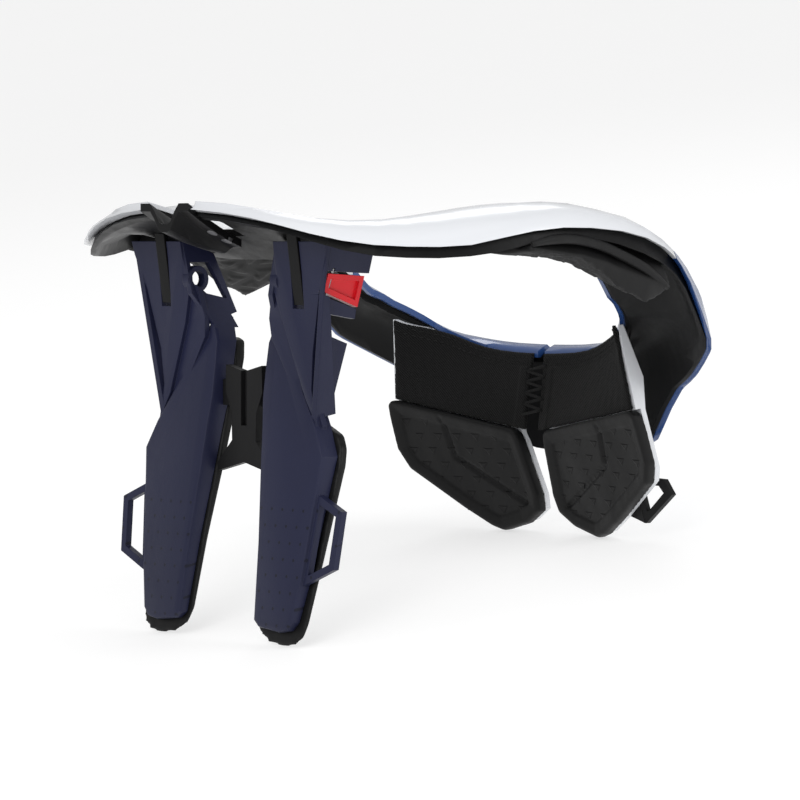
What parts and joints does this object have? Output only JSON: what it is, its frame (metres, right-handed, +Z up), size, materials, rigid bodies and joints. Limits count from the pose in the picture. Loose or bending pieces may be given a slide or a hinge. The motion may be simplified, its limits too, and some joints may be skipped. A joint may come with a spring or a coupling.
{
  "type": "motocross neck brace",
  "caption": "Motocross neck brace: a shelled ring round the neck, chest wings in front and cushioned back wings, worn to limit head movement.",
  "frame": {"origin": "middle of the footprint on the surface that the brace rests on, at the height of that surface", "axes": "+Z up; +X towards the wearer's left; the wearer faces -Y, so the chest wings are on the -Y side"},
  "size_m": [0.296, 0.2496, 0.2045],
  "materials": {
    "white_shell": "glossy, smooth",
    "rear_shell": "glossy, smooth",
    "black_tray": "satin, fine grain",
    "black_link": "satin",
    "screws": "dull",
    "shoulder_pads": "matte foam rubber, embossed",
    "wings": "satin, lightly brushed look",
    "chest_pads": "matte foam rubber",
    "tongues": "satin",
    "bridge": "matte, flexible",
    "lever": "satin red",
    "pin": "dull",
    "cloth": "woven, stitched hems",
    "scapula_pads": "moulded foam rubber, embossed",
    "rear_wings": "glossy, smooth",
    "rear_loops": "satin"
  },
  "bodies": {
    "brace": {"top_shell_left": "white_shell", "top_shell_right": "white_shell", "rear_shell": "rear_shell", "base_ring": "black_tray", "front_link": "black_link", "link_screw_1": "screws", "link_screw_2": "screws", "link_screw_3": "screws", "link_screw_4": "screws", "shoulder_pad_left": "shoulder_pads", "shoulder_pad_right": "shoulder_pads", "chest_wing_left": "wings", "chest_wing_right": "wings", "chest_pad_left": "chest_pads", "chest_pad_right": "chest_pads", "wing_tongue_left": "tongues", "wing_tongue_right": "tongues", "wing_bridge": "bridge", "lever_pin": "pin", "fabric_panel_left": "cloth", "fabric_panel_right": "cloth", "scapula_pad_left": "scapula_pads", "scapula_pad_right": "scapula_pads", "rear_wing_left": "rear_wings", "rear_wing_right": "rear_wings", "rear_loop_left": "rear_loops", "rear_loop_right": "rear_loops"},
    "lever": {"release_lever": "lever"}
  },
  "joints": [
    {"name": "release_lever_hinge", "type": "hinge", "parent": "brace", "child": "lever", "pos_m": [0.06111, -0.08256, 0.16137], "axis": [-0.3701, -0.1577, -0.9155], "range_deg": [0, 40]}
  ]
}
